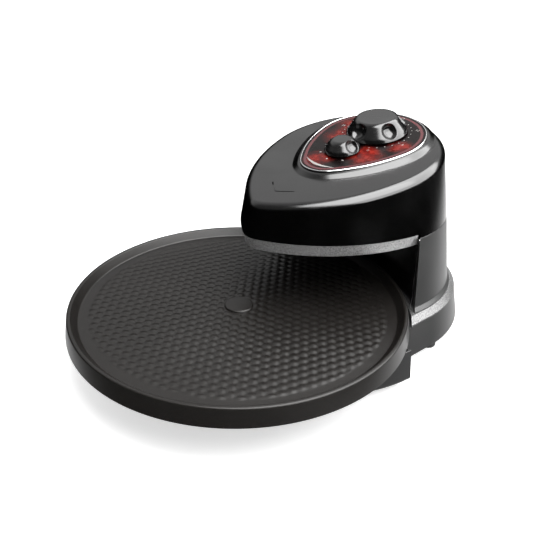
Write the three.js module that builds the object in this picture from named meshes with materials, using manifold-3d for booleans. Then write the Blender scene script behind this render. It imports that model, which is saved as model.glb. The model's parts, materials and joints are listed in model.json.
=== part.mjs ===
// Countertop pizza oven: a round non-stick pan turns on a driven hub between two electric elements.
// The lower element lies in a tray under the pan. The upper one hangs in a head that reaches over
// the pan from a column at the rear. A timer and an element selector stand on the head's panel.
// Millimetres, +Z up, +Y to the rear. Sub-parts are drawn about the pan's axis, with the floor at
// z = 0, and one group at the end moves them to the middle of the oven's footprint.
import * as THREE from "three";
import { mergeVertices } from "three/addons/utils/BufferGeometryUtils.js";
import Module from "manifold-3d";

const wasm = await Module();
wasm.setup();

// ---- clearances ----
const seatGap = 0.3; // between pieces that rest on each other
const slideGap = 0.8; // around a pin, tube or shaft that passes through a sheet
const runGap = 0.25; // radial, between a turning shaft and its bush
const panGap = 4; // between the turning pan and anything fixed beside or under it
const cutPast = 5; // how far a cutting body runs past what it cuts
const deg = Math.PI / 180;

// ---- pan and drive ----
const panRimRadius = 168;
const panSkirtFlare = 3.4; // how far the skirt leans out below the rim
const panSkirtHeight = 19;
const panRimZ = 67;
const panDepth = 8;
const panSheet = 1.8;
const panLipWidth = 3.3;
const panSlopeWidth = 6.1;
const panBossRadius = 14;
const panBossHeight = 2;
const hubDiscRadius = 34;
const hubDiscHeight = 3.5;
const hubSleeveRadius = 10;
const hubSleeveHeight = 7;
const hubStack = 6.2; // from the hub disc's top to the pan's underside
const hexAcrossFlats = 16;
const hexHeight = 4.5;
const socketRadius = 22;
const socketClearance = 0.5;
const shaftRadius = 4;
const shaftReach = 7; // how far the shaft goes down into the motor
const bushWall = 4.5;
const bushFlange = 3.5;
const bushFlangeSheet = 1.6;

// ---- head, column and base, in plan about the pan's axis ----
const wallGap = 6.6; // between the pan's skirt and the bright wall
const wallSheet = 1.5;
const rearSetback = 23; // how far the rear centre lies inside the wall
const tipReach = 144.2; // from the rear centre to the head's tip
const tipRadius = 24;
const seamRadius = 102.8; // the head's and the column's rear radius where they meet
const headSideBulge = 76.2; // how much larger the radius of the head's sides is
const columnSpread = 9.8; // how much wider the column is at its foot
const columnFlange = 3;
const ledgeWidth = 12.4; // the silver ledge, in plan
const baseFrontDepth = 57; // from the rear centre to the base's flat front
const baseDraftInset = 6; // how much narrower the base is at the top
const headDraft = 9 * deg;
const headFilletRadius = 9;
const shellWall = 3;
const wallOverlap = 0.2; // how far the wall's ends run past the seam radius
const windowMargin = 7; // from the wall's ends to the opening behind it
const trimSheet = 2;
const trimInsetTop = 1.4;
const trimInsetLow = 4;
const footRadius = 9;

// ---- heights ----
const baseBottomZ = 11;
const baseTopZ = 42.6;
const ledgeShoulder = 1.8;
const ledgeRise = 7.9;
const columnFootRise = 5.5;
const ovenGap = 53; // between the pan's rim and the head trim
const trimDrop = 13;
const seamDrop = 4.2; // how far the rear seam lies below the head's edge
const headRise = 34.7; // from the head's edge to the panel's plane, on the pan's axis
const shieldDrop = 2.2;
const shieldSheet = 1.2;

// ---- control panel, square to the tilted top of the head ----
const panelTilt = 10.15 * deg;
const plinthHeight = 4;
const plinthBevel = 8;
const plinthMargin = 2.6;
const plateRearRoom = 77.3; // from the head's rear, at the seam, to the plate's rear centre
const plateLength = 88.9; // from the plate's rear centre to its tip
const plateTipRadius = 29;
const plateRearRadius = 57.5;
const plateSideRadius = 139;
const plateSheet = 1.2;
const bezelWidth = 1.8;
const bezelHeight = 1.7;
const timerSetback = 10.5; // behind the plate's rear centre
const knobSpacing = 52;
const knobShaftRadius = 3;
const knobLift = 0.7;
const knobFoot = 4.6; // height of a knob's skirt
const timerKnob = {
  radius: 33, shoulder: 31.4, top: 22.5, height: 17.6, scoops: 5, firstScoop: -90 * deg, scoopRadius: 10.6,
  scoopOut: 5.5,
};
const selectorKnob = {
  radius: 19, shoulder: 17.8, top: 12, height: 12.6, scoops: 2, firstScoop: 0, scoopRadius: 9.5,
  scoopOut: 4.6,
};
const timerSwitch = { width: 56, depth: 52, height: 30 };
const selectorSwitch = { width: 34, depth: 34, height: 22 };
const shaftDepth = 14; // how far a knob's shaft goes down into its switch
const chevron = { reach: 33.2, half: 16, rise: 11, width: 1.5, depth: 1.6 };

// ---- lower tray, elements and drive ----
const trayCornerInset = 21.4; // from the pan's skirt radius to the tray's corner, in X
const trayGap = 7; // between the tray's corner and the base's front
const trayNoseRadius = 52;
const traySideRadius = 160;
const trayBottomZ = 10.5;
const traySheet = 1.8;
const trayLean = 1.6;
const reflectorSheet = 1;
const reflectorFlare = 9;
const elementRadius = 3.25;
const elementSides = 8;
const lowerElementLift = 0.65; // over the lower reflector
const upperElementDrop = 8.7; // below the head's edge
const terminalX = 18;
const terminalReach = 8; // how far the lower element's ends run inside the base
const lowerLoopInset = 38; // from the tray's corner to the lower element's bends
const upperLoopInset = 30.8; // from the seam radius to the upper element's bends
const clipSize = { wall: 0.5, depth: 6, clearance: 0.6, cover: 1.35 };
const motor = { radius: 25, height: 16, gearWidth: 60, gearDepth: 26 };
const bracket = { width: 96, depth: 30, sheet: 1.5, leg: 8 };
const cutoff = { radius: 9, ahead: 47, sink: 1.9, rise: 7 };

// ---- wiring, screws and inlet ----
const glandRadius = 8;
const glandBore = 3.6;
const glandFlange = 3;
const glandFlangeSheet = 2.4;
const glandZ = 25;
const loomRadius = 4;
const terminalBlock = { width: 46, depth: 22, height: 16, behind: 49 };
const studRadius = 2.2;
const studHole = 2.6;
const bottomSheet = 1.5;

// ---- derived places ----
const panSkirtRadius = panRimRadius + panSkirtFlare;
const wallRadius = panSkirtRadius + wallGap; // concentric with the pan
const rearCentreY = wallRadius - rearSetback;
const tipY = rearCentreY - tipReach;
const headSideRadius = seamRadius + headSideBulge;
const wallHalfWidth = seamRadius + wallOverlap;
const windowHalfWidth = wallHalfWidth - windowMargin;
const columnFootRadius = seamRadius + columnSpread;
const columnFlangeRadius = columnFootRadius + columnFlange;
const baseHalfWidth = columnFlangeRadius + ledgeWidth; // at the base's lower edge
const baseFrontY = rearCentreY - baseFrontDepth;
const baseRearY = rearCentreY + baseHalfWidth;
const trimShoulderZ = baseTopZ + ledgeShoulder;
const trimTopZ = baseTopZ + ledgeRise;
const columnFootZ = trimTopZ + columnFootRise;
const headEdgeZ = panRimZ + ovenGap + trimDrop; // lower edge of the head over the pan
const seamZ = headEdgeZ - seamDrop;
const plinthZ = headEdgeZ + headRise;
const plateRearV = rearCentreY + seamRadius - plateRearRoom;
const plateTipV = plateRearV - plateLength;
const timerV = plateRearV + timerSetback;
const selectorV = timerV - knobSpacing;
const trayCornerX = panSkirtRadius - trayCornerInset;
const trayCornerY = baseFrontY - trayGap;
const trayTopZ = panRimZ - panSkirtHeight - panGap;
const upperElementZ = headEdgeZ - upperElementDrop;
const panBottomZ = panRimZ - panDepth - panSheet;
const hubDiscTopZ = panBottomZ - hubStack;
const hubDiscBottomZ = hubDiscTopZ - hubDiscHeight;
const motorBottomZ = trayBottomZ + traySheet + seatGap;
const bracketZ = motorBottomZ + motor.height + seatGap;
const lowerReflectorZ = bracketZ + bracket.sheet + seatGap;
const lowerElementZ = lowerReflectorZ + reflectorSheet + lowerElementLift + elementRadius;
const columnTopZ = seamZ - seatGap;
const columnBottomZ = trimTopZ + seatGap;
const columnFront = wallRadius + wallSheet + seatGap;
const knobBase = seatGap + plateSheet + knobLift;
const underPanel = -shellWall - seatGap;
const faceDrop = plinthHeight / Math.cos(panelTilt);
const topZAt = (y) => plinthZ - faceDrop + y * Math.tan(panelTilt);
const rearFeet = [-1, 1].map((side) => [side * (baseHalfWidth - 14), rearCentreY + 13]);
const frontFeet = [-1, 1].map((side) => [side * (trayNoseRadius + 10), -8]);
const plateScrews = [
  [24 - baseHalfWidth, baseFrontY + 18],
  [baseHalfWidth - 24, baseFrontY + 18],
  [-40, rearCentreY + seamRadius - 5.8],
  [40, rearCentreY + seamRadius - 5.8],
];

// ---- materials ----
const finish = (color, roughness, metalness) =>
  new THREE.MeshStandardMaterial({ color, roughness, metalness });
const glossBlack = finish(0x0b0b0c, 0.16, 0);
const satinBlack = finish(0x1c1c1d, 0.4, 0);
const nonStick = finish(0x2b2928, 0.5, 0.3);
const blackSteel = finish(0x101010, 0.5, 0.5);
const silver = finish(0xb9b9b8, 0.3, 0.9);
const steel = finish(0x8d9093, 0.35, 1);
const brightSheet = finish(0xc4c6c8, 0.22, 1);
const elementSheath = finish(0x4a4541, 0.55, 0.8);
const knobPlastic = finish(0x37393b, 0.22, 0);
const panelRed = finish(0x6a1113, 0.3, 0);
const whitePlastic = finish(0xd9d6cd, 0.5, 0);
const rubber = finish(0x151515, 0.85, 0);
const brass = finish(0xb08d4a, 0.35, 1);

// ---- solids ----
function solid(geometry, matrix) {
  const bare = new THREE.BufferGeometry();
  const source = geometry.index ? geometry.toNonIndexed() : geometry;
  bare.setAttribute("position", source.getAttribute("position").clone());
  if (matrix) bare.applyMatrix4(matrix);
  const merged = mergeVertices(bare, 1e-3);
  return new wasm.Manifold(
    new wasm.Mesh({
      numProp: 3,
      vertProperties: new Float32Array(merged.attributes.position.array),
      triVerts: new Uint32Array(merged.index.array),
    }),
  );
}

function geometryOf(manifold) {
  const mesh = manifold.getMesh();
  const geometry = new THREE.BufferGeometry();
  geometry.setAttribute("position", new THREE.BufferAttribute(new Float32Array(mesh.vertProperties), 3));
  geometry.setIndex(new THREE.BufferAttribute(new Uint32Array(mesh.triVerts), 1));
  return geometry;
}

const at = (x, y, z) => new THREE.Matrix4().makeTranslation(x, y, z);
// The panel's frame: u across, v up the slope, w out of the panel, from the plinth's plane.
const panelFrame = at(0, 0, plinthZ).multiply(new THREE.Matrix4().makeRotationX(panelTilt));
const onPanel = (v, w) => panelFrame.clone().multiply(at(0, v, w));

// An upright cylinder from z0 to z1 about (x, y).
function upright(x, y, radius, z0, z1, segments = 48, radiusTop = radius) {
  const geometry = new THREE.CylinderGeometry(radiusTop, radius, z1 - z0, segments);
  geometry.rotateX(Math.PI / 2);
  return solid(geometry, at(x, y, (z0 + z1) / 2));
}

function block(width, depth, height, matrix) {
  return solid(new THREE.BoxGeometry(width, depth, height), matrix);
}

// A body turned about Z. The profile runs up from the axis, or closes on itself.
function turned(profile, segments = 48) {
  const points = profile.map(([r, z]) => new THREE.Vector2(r, z));
  const geometry = new THREE.LatheGeometry(points, segments);
  geometry.rotateX(Math.PI / 2);
  return solid(geometry);
}

function extruded(shape, height, matrix, curveSegments = 24) {
  const options = { depth: height, bevelEnabled: false, curveSegments };
  return solid(new THREE.ExtrudeGeometry(shape, options), matrix);
}

// Joins closed rings of equally many points into one body with flat-fanned ends.
function lofted(rings) {
  const count = rings[0].length;
  const positions = [];
  const push = (...points) => points.forEach((p) => positions.push(p.x, p.y, p.z));
  for (let r = 0; r + 1 < rings.length; r++) {
    for (let k = 0; k < count; k++) {
      const next = (k + 1) % count;
      const [a, b, c, d] = [rings[r][k], rings[r][next], rings[r + 1][next], rings[r + 1][k]];
      push(a, b, c, a, c, d);
    }
  }
  for (const [ring, up] of [[rings[0], false], [rings[rings.length - 1], true]]) {
    const middle = ring.reduce((sum, p) => sum.add(p), new THREE.Vector3()).divideScalar(count);
    for (let k = 0; k < count; k++) {
      const next = (k + 1) % count;
      if (up) push(middle, ring[k], ring[next]);
      else push(middle, ring[next], ring[k]);
    }
  }
  const geometry = new THREE.BufferGeometry();
  geometry.setAttribute("position", new THREE.Float32BufferAttribute(positions, 3));
  return solid(geometry);
}

// ---- outlines: closed lists of { x, y, nx, ny }, counter-clockwise, with outward normals ----
// An egg is a tip circle and a rear circle joined on each side by a larger arc tangent to both.
function eggOutline(tip, tipR, rearY, rearR, sideR, steps = [5, 11, 14]) {
  const tipCentre = tip + tipR;
  const spread = rearY - tipCentre;
  const back = ((sideR - rearR) ** 2 - (sideR - tipR) ** 2 + spread ** 2) / (2 * spread);
  const sideY = rearY - back;
  const sideX = -Math.sqrt((sideR - rearR) ** 2 - back ** 2);
  const first = Math.atan2(tipCentre - sideY, -sideX);
  const last = Math.atan2(rearY - sideY, -sideX);
  const half = [];
  const arc = (cx, cy, r, from, to, n, includeEnd) => {
    for (let i = 0; i < n + (includeEnd ? 1 : 0); i++) {
      const t = from + ((to - from) * i) / n;
      half.push({ x: cx + r * Math.cos(t), y: cy + r * Math.sin(t), nx: Math.cos(t), ny: Math.sin(t) });
    }
  };
  arc(0, tipCentre, tipR, -Math.PI / 2, first, steps[0], false);
  arc(sideX, sideY, sideR, first, last, steps[1], false);
  arc(0, rearY, rearR, last, Math.PI / 2, steps[2], true);
  const mirrored = half.slice(1, -1).reverse().map((p) => ({ x: -p.x, y: p.y, nx: -p.nx, ny: p.ny }));
  return [...half, ...mirrored];
}

// The tray is a nose circle with an arc tangent to it on each side, out to a rear corner.
function trayOutline(inset, steps = [3, 14]) {
  const nose = trayNoseRadius;
  const reach = Math.hypot(trayCornerX, trayCornerY);
  const along = ((traySideRadius - nose) ** 2 - traySideRadius ** 2 + reach ** 2) / (2 * reach);
  const across = Math.sqrt((traySideRadius - nose) ** 2 - along ** 2);
  const [ux, uy] = [trayCornerX / reach, trayCornerY / reach];
  const cx = along * ux - across * uy;
  const cy = along * uy + across * ux;
  const first = Math.atan2(-cy, -cx);
  const rearY = trayCornerY + traySheet + 2 - inset;
  const side = traySideRadius - inset;
  const last = Math.asin((rearY - cy) / side);
  const half = [];
  for (let i = 0; i < steps[0]; i++) {
    const t = -Math.PI / 2 + ((first + Math.PI / 2) * i) / steps[0];
    half.push({ x: (nose - inset) * Math.cos(t), y: (nose - inset) * Math.sin(t) });
  }
  for (let i = 0; i <= steps[1]; i++) {
    const t = first + ((last - first) * i) / steps[1];
    half.push({ x: cx + side * Math.cos(t), y: cy + side * Math.sin(t) });
  }
  const mirrored = half.slice(1).reverse().map((p) => ({ x: -p.x, y: p.y }));
  return [...half, ...mirrored];
}

// The base is a half circle at the rear with straight sides running forward to a flat front.
function baseOutline(inset, frontInset = 0, steps = 28) {
  const r = baseHalfWidth - inset;
  const ring = [];
  for (let i = 0; i <= steps; i++) {
    const t = (Math.PI * i) / steps;
    ring.push({ x: r * Math.cos(t), y: rearCentreY + r * Math.sin(t) });
  }
  const front = baseFrontY + frontInset;
  return [{ x: r, y: front }, ...ring, { x: -r, y: front }];
}

const ringAt = (outline, z) => outline.map((p) => new THREE.Vector3(p.x, p.y, z));
const offset = (outline, inset) =>
  outline.map((p) => ({ ...p, x: p.x - p.nx * inset, y: p.y - p.ny * inset }));
const headOutline = eggOutline(tipY, tipRadius, rearCentreY, seamRadius, headSideRadius);
const plateOutline = (grow, steps) =>
  eggOutline(
    plateTipV - grow, plateTipRadius + grow,
    plateRearV, plateRearRadius + grow,
    plateSideRadius + grow, steps,
  );
const shapeOf = (outline) => new THREE.Shape(outline.map((p) => new THREE.Vector2(p.x, p.y)));
// What lies within a radius of the pan's axis, between two heights.
const panCylinder = (radius, z0, z1) => upright(0, 0, radius, z0, z1, 96);

// ---- parts ----
const group = new THREE.Group();
const parts = new THREE.Group();
group.add(parts);

function part(name, manifold, material) {
  const mesh = new THREE.Mesh(geometryOf(manifold), material);
  mesh.name = name;
  parts.add(mesh);
}

// The head's outer body, or with an inset and a drop the space inside its wall.
function headBody(inset, drop, fromZ) {
  const tops = headOutline.map((p) => {
    let z = topZAt(p.y);
    for (let i = 0; i < 4; i++) {
      const lean = (z - seamZ) * Math.tan(headDraft) + inset + headFilletRadius;
      z = topZAt(p.y - p.ny * lean) - drop;
    }
    return z;
  });
  const ring = (heightOf, extra) =>
    headOutline.map((p, k) => {
      const z = heightOf(tops[k]);
      const wallZ = Math.min(z, tops[k] - headFilletRadius);
      const lean = inset + (wallZ - seamZ) * Math.tan(headDraft) + extra;
      return new THREE.Vector3(p.x - p.nx * lean, p.y - p.ny * lean, z);
    });
  const rings = [ring(() => fromZ, 0), ring((top) => top - headFilletRadius, 0)];
  const filletSteps = 4;
  for (let i = 1; i <= filletSteps; i++) {
    const turn = (i / filletSteps) * (Math.PI / 2);
    const rise = headFilletRadius * Math.sin(turn);
    const lean = headFilletRadius * (1 - Math.cos(turn));
    rings.push(ring((top) => top - headFilletRadius + rise, lean));
  }
  return lofted(rings);
}

function plinthBody(drop) {
  const steps = [4, 8, 10];
  const foot = ringAt(plateOutline(plinthMargin + plinthBevel - drop, steps), -plinthHeight - drop - 2);
  const top = ringAt(plateOutline(plinthMargin - drop, steps), -drop);
  const onHead = [foot, top].map((ring) => ring.map((p) => p.applyMatrix4(panelFrame)));
  const reach = shellWall + headFilletRadius + (plinthZ - seamZ) * Math.tan(headDraft);
  const limit = offset(headOutline, reach + drop);
  return lofted(onHead).intersect(lofted([ringAt(limit, headEdgeZ), ringAt(limit, plinthZ + 80)]));
}

// A narrow V in the head's top, pointing at its tip.
function chevronCutter() {
  const { half, rise, width, depth } = chevron;
  const vertexV = (tipY + chevron.reach) / Math.cos(panelTilt);
  const steps = 8;
  const arm = [];
  for (let i = 0; i <= steps; i++) arm.push([(half * i) / steps, vertexV + rise * (i / steps) ** 1.15]);
  const right = arm.map(([u, v]) => new THREE.Vector2(u, v));
  const back = [...arm].reverse().map(([u, v]) => new THREE.Vector2(u, v + width));
  const leftBack = arm.slice(1).map(([u, v]) => new THREE.Vector2(-u, v + width));
  const left = arm.slice(1).reverse().map(([u, v]) => new THREE.Vector2(-u, v));
  const shape = new THREE.Shape([...right, ...back, ...leftBack, ...left]);
  return extruded(shape, depth + 3, onPanel(0, -plinthHeight - depth));
}

function headShell() {
  const hole = (v) => extruded(circleShape(knobShaftRadius + slideGap), 30, onPanel(v, -20));
  const outer = headBody(0, 0, seamZ).add(plinthBody(0));
  const inner = headBody(shellWall, shellWall, seamZ - cutPast).add(plinthBody(shellWall));
  return outer
    .subtract(inner)
    .subtract(panCylinder(columnFront, seamZ - cutPast, headEdgeZ))
    .subtract(hole(timerV))
    .subtract(hole(selectorV))
    .subtract(chevronCutter());
}

function circleShape(radius, x = 0, y = 0) {
  return new THREE.Shape().absarc(x, y, radius, 0, Math.PI * 2);
}

// The silver band that hangs below the head's edge, open at the rear where it meets the wall.
function headTrim() {
  const top = headEdgeZ - seatGap;
  const bottom = headEdgeZ - trimDrop;
  const lean = (trimInsetLow - trimInsetTop) / (top - bottom);
  const outer = lofted([
    ringAt(offset(headOutline, trimInsetLow), bottom),
    ringAt(offset(headOutline, trimInsetTop), top),
  ]);
  const bore = lofted([
    ringAt(offset(headOutline, trimInsetLow + trimSheet + lean), bottom - 1),
    ringAt(offset(headOutline, trimInsetTop + trimSheet - lean), top + 1),
  ]);
  return outer.subtract(bore).intersect(panCylinder(wallRadius - seatGap, bottom - cutPast, top + cutPast));
}

function heatShield() {
  const z = headEdgeZ - shieldDrop;
  const edge = offset(headOutline, trimInsetTop + trimSheet + 4 * seatGap);
  const sheet = lofted([ringAt(edge, z - shieldSheet), ringAt(edge, z)]);
  return sheet
    .intersect(panCylinder(wallRadius - seatGap, z - cutPast, z + cutPast))
    .subtract(elementHoles(upperElementPath(), z - cutPast, z + cutPast));
}

// A bright dish, open downwards, above the upper element.
function upperReflector() {
  const rimZ = headEdgeZ - trimDrop + 1.5;
  const roofZ = headEdgeZ - shieldDrop - shieldSheet - seatGap - 0.1;
  const rim = trimInsetLow + trimSheet + 1.4;
  const roof = rim + 5.6;
  const outer = lofted([ringAt(offset(headOutline, rim), rimZ), ringAt(offset(headOutline, roof), roofZ)]);
  const inner = lofted([
    ringAt(offset(headOutline, rim + reflectorSheet - 0.7), rimZ - 1),
    ringAt(offset(headOutline, roof + reflectorSheet), roofZ - reflectorSheet),
  ]);
  return outer
    .subtract(inner)
    .intersect(panCylinder(wallRadius - 2 * seatGap, rimZ - cutPast, roofZ + cutPast))
    .subtract(elementHoles(upperElementPath(), roofZ - 2, roofZ + cutPast));
}

// An element's loop from its right half, mirrored about the middle point.
function loopPath(half, middle) {
  const mirrored = [...half].reverse().map(([x, y, z]) => [-x, y, z]);
  const points = [...half, middle, ...mirrored].map((p) => new THREE.Vector3(...p));
  return new THREE.CatmullRomCurve3(points, false, "centripetal");
}

// The upper element's ends go up through the shield, and its loop lies level below the reflector.
function upperElementPath() {
  const z = upperElementZ;
  const rear = rearCentreY + 3;
  const reach = seamRadius - upperLoopInset;
  const half = [
    [terminalX, rear, headEdgeZ + 12],
    [terminalX, rear, headEdgeZ + 3],
    [terminalX, rear - 1, headEdgeZ - 4],
    [terminalX + 4, rear - 8, z],
    [reach - 34, rear - 12, z],
    [reach - 6, rear - 18, z],
    [reach, rear - 48, z],
    [reach - 18, rear - 82, z],
    [reach - 46, rear - 110, z],
  ];
  return loopPath(half, [0, rear - 120, z]);
}

// The lower element's ends go back through the tray and the base's front.
function lowerElementPath() {
  const z = lowerElementZ;
  const reach = trayCornerX - lowerLoopInset;
  const nose = trayNoseRadius;
  const half = [
    [terminalX, baseFrontY + shellWall + terminalReach, z],
    [terminalX, trayCornerY - 5, z],
    [terminalX + 10, trayCornerY - 21, z],
    [reach - 42, trayCornerY - 19, z],
    [reach, trayCornerY - 23, z],
    [reach, trayCornerY - 55, z],
    [...lowerClipSpot(), z],
    [nose - 8, 28 - nose, z],
  ];
  return loopPath(half, [0, 19 - nose, z]);
}

function lowerClipSpot() {
  return [trayCornerX - lowerLoopInset - 28, 56 - trayNoseRadius];
}

function upperClipSpot() {
  return [seamRadius - upperLoopInset - 18, rearCentreY - 79];
}

function element(path) {
  const corners = [];
  for (let i = 0; i < elementSides; i++) {
    const t = (i / elementSides) * Math.PI * 2;
    corners.push(new THREE.Vector2(elementRadius * Math.cos(t), elementRadius * Math.sin(t)));
  }
  const round = new THREE.Shape(corners);
  return solid(new THREE.ExtrudeGeometry(round, { extrudePath: path, steps: 44, bevelEnabled: false }));
}

// Upright slots for an element's two terminals, which bend forward below them.
function elementHoles(path, z0, z1) {
  const end = path.getPoint(0);
  const radius = elementRadius + slideGap + 1.2;
  const slot = (x) => upright(x, end.y, radius, z0, z1, 16)
    .add(block(2 * radius, 12, z1 - z0, at(x, end.y - 6, (z0 + z1) / 2)));
  return slot(end.x).add(slot(-end.x));
}

// Holes along Y for the lower element's two terminals.
function rearHoles(y0, y1) {
  const radius = elementRadius + slideGap + 1;
  const hole = (x) => {
    const turn = at(x, (y0 + y1) / 2, lowerElementZ);
    return solid(new THREE.CylinderGeometry(radius, radius, y1 - y0, 20), turn);
  };
  return hole(terminalX).add(hole(-terminalX));
}

// A strap that holds an element to a sheet; the element runs through it at (x, y).
function clip(x, y, heading, z0, z1, z) {
  const turn = at(x, y, 0).multiply(new THREE.Matrix4().makeRotationZ(heading));
  const width = 2 * (elementRadius + clipSize.clearance + clipSize.wall);
  const strap = block(width, clipSize.depth, z1 - z0, turn.clone().multiply(at(0, 0, (z0 + z1) / 2)));
  const radius = elementRadius + clipSize.clearance;
  const bore = solid(new THREE.CylinderGeometry(radius, radius, 20, 20), turn.clone().multiply(at(0, 0, z)));
  return strap.subtract(bore);
}

function columnShell() {
  const outer = upright(0, rearCentreY, columnFootRadius, columnFootZ, columnTopZ, 72, seamRadius)
    .add(upright(0, rearCentreY, columnFlangeRadius, columnBottomZ, columnFootZ, 72, columnFootRadius));
  const cavity = upright(
    0, rearCentreY, columnFootRadius - shellWall, columnBottomZ - cutPast, columnTopZ + cutPast, 72,
    seamRadius - shellWall - 1,
  ).subtract(panCylinder(columnFront + shellWall, columnBottomZ - 2 * cutPast, columnTopZ + 2 * cutPast));
  const windowZ0 = columnBottomZ + 10;
  const windowZ1 = columnTopZ - 6;
  const frontWindow = block(
    windowHalfWidth * 2, 45, windowZ1 - windowZ0, at(0, wallRadius - 40, (windowZ0 + windowZ1) / 2),
  );
  return outer
    .subtract(panCylinder(columnFront, columnBottomZ - cutPast, columnTopZ + cutPast))
    .subtract(cavity)
    .subtract(frontWindow);
}

// The bright sheet behind the pan, bent about the pan's axis.
function gapWall() {
  const half = Math.asin(wallHalfWidth / wallRadius);
  const shape = new THREE.Shape();
  shape.absarc(0, 0, wallRadius, Math.PI / 2 - half, Math.PI / 2 + half, false);
  shape.absarc(0, 0, wallRadius + wallSheet, Math.PI / 2 + half, Math.PI / 2 - half, true);
  shape.closePath();
  const bottom = trimTopZ + seatGap;
  return extruded(shape, seamZ - 1 - bottom, at(0, 0, bottom), 28);
}

function baseShell() {
  const outer = [ringAt(baseOutline(0), baseBottomZ), ringAt(baseOutline(baseDraftInset), baseTopZ)];
  const inner = [
    ringAt(baseOutline(shellWall, shellWall), baseBottomZ - 1),
    ringAt(baseOutline(shellWall + baseDraftInset, shellWall), baseTopZ - shellWall),
  ];
  return lofted(outer)
    .subtract(lofted(inner))
    .subtract(shaftWell())
    .subtract(rearHoles(baseFrontY - cutPast, baseFrontY + shellWall + terminalReach + slideGap))
    .subtract(glandHole());
}

// The opening in the base's roof that leads up into the column.
function shaftWell() {
  return upright(0, rearCentreY, seamRadius - 10, baseBottomZ, baseTopZ + cutPast, 64)
    .subtract(panCylinder(wallRadius + 12, baseBottomZ - cutPast, baseTopZ + 2 * cutPast));
}

function glandHole() {
  const hole = new THREE.CylinderGeometry(glandRadius, glandRadius, 24, 28);
  return solid(hole, at(0, baseRearY, glandZ));
}

// The rubber bush round the mains inlet, flush with the base's rear where the wall leans in.
function cordGland() {
  const sleeve = glandRadius - seatGap;
  const flange = sleeve + glandFlange;
  const wallLean = baseDraftInset / (baseTopZ - baseBottomZ);
  const faceY = baseRearY - wallLean * (glandZ + flange - baseBottomZ);
  const seat = shellWall + 2 * seatGap + 0.4;
  const end = seat + glandFlangeSheet;
  const profile = [
    [glandBore, 0], [sleeve, 0], [sleeve, seat], [flange, seat], [flange, end], [glandBore, end],
    [glandBore, 0],
  ];
  const turn = at(0, faceY, glandZ).multiply(new THREE.Matrix4().makeRotationX(Math.PI / 2));
  return turnedAt(profile, turn, 28);
}

function turnedAt(profile, matrix, segments = 48) {
  const geometry = new THREE.LatheGeometry(profile.map(([r, z]) => new THREE.Vector2(r, z)), segments);
  geometry.rotateX(Math.PI / 2);
  return solid(geometry, matrix);
}

// The sloping silver ledge between the base and the column.
function baseTrim() {
  const bottom = baseTopZ + seatGap;
  const shoulder = baseHalfWidth - columnFlangeRadius - seatGap;
  const body = lofted([
    ringAt(baseOutline(baseDraftInset), bottom),
    ringAt(baseOutline(baseDraftInset), trimShoulderZ),
    ringAt(baseOutline(shoulder), trimTopZ),
  ]);
  const z0 = bottom - cutPast;
  const z1 = trimTopZ + cutPast;
  const hole = upright(0, rearCentreY, seamRadius - 7, z0, z1, 64)
    .subtract(panCylinder(columnFront + 6, z0 - 1, z1 + 1));
  return body.subtract(panCylinder(panSkirtRadius + panGap, z0, z1)).subtract(hole);
}

function bottomPlate() {
  const z = baseBottomZ;
  const outline = baseOutline(shellWall + 3 * seatGap, shellWall + seatGap);
  let plate = lofted([ringAt(outline, z + seatGap), ringAt(outline, z + seatGap + bottomSheet)]);
  for (const [x, y] of [...rearFeet, ...plateScrews]) {
    plate = plate.subtract(upright(x, y, studHole, z - cutPast, z + cutPast, 16));
  }
  return plate;
}

// A rubber foot with a stud that goes up into the sheet above it.
function foot(x, y, top, stud) {
  const profile = [
    [0, 0], [footRadius - 1.2, 0], [footRadius, 1.2], [footRadius - 1, top], [studRadius, top],
    [studRadius, top + stud], [0, top + stud],
  ];
  return turnedAt(profile, at(x, y, 0), 20);
}

function screw(x, y, z) {
  const head = [
    [0, z - 2.4], [2.6, z - 2.4], [3.8, z - 1.2], [3.8, z - 0.2], [studRadius, z - 0.2], [studRadius, z + 8],
    [0, z + 8],
  ];
  return turnedAt(head, at(x, y, 0), 12);
}

function lowerTray() {
  const outer = lofted([
    ringAt(trayOutline(0), trayBottomZ),
    ringAt(trayOutline(0), trayBottomZ + 3),
    ringAt(trayOutline(trayLean), trayTopZ),
  ]);
  const inner = lofted([
    ringAt(trayOutline(traySheet), trayBottomZ + traySheet),
    ringAt(trayOutline(traySheet + trayLean), trayTopZ + 1),
  ]);
  let tray = outer.subtract(inner).subtract(rearHoles(trayCornerY - 15, trayCornerY + 10));
  for (const [x, y] of frontFeet) {
    tray = tray.subtract(upright(x, y, studHole, trayBottomZ - cutPast, trayBottomZ + cutPast, 16));
  }
  return tray;
}

// A bright dish, open upwards, under the lower element.
function lowerReflector() {
  const rim = traySheet + trayLean + 3 * seatGap;
  const rimZ = trayTopZ - 0.6;
  const floorZ = lowerReflectorZ;
  const outer = lofted([ringAt(trayOutline(rim + reflectorFlare), floorZ), ringAt(trayOutline(rim), rimZ)]);
  const inner = lofted([
    ringAt(trayOutline(rim + reflectorFlare + reflectorSheet * 0.6), floorZ + reflectorSheet),
    ringAt(trayOutline(rim + reflectorSheet), rimZ + 1),
  ]);
  return outer
    .subtract(inner)
    .subtract(upright(0, 0, shaftRadius + bushWall + seatGap, floorZ - 1, floorZ + cutPast, 32))
    .subtract(rearHoles(trayCornerY - 25, trayCornerY + 10));
}

function gearMotor() {
  const z0 = motorBottomZ;
  const z1 = z0 + motor.height;
  const can = upright(0, 0, motor.radius, z0, z1, 40);
  const gearZ = z0 + motor.height * 0.75;
  const gearbox = block(motor.gearWidth, motor.gearDepth, motor.height / 2, at(0, 0, gearZ));
  return can.add(gearbox).subtract(upright(0, 0, shaftRadius + runGap, z1 - shaftReach - 1, z1 + 1, 24));
}

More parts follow.
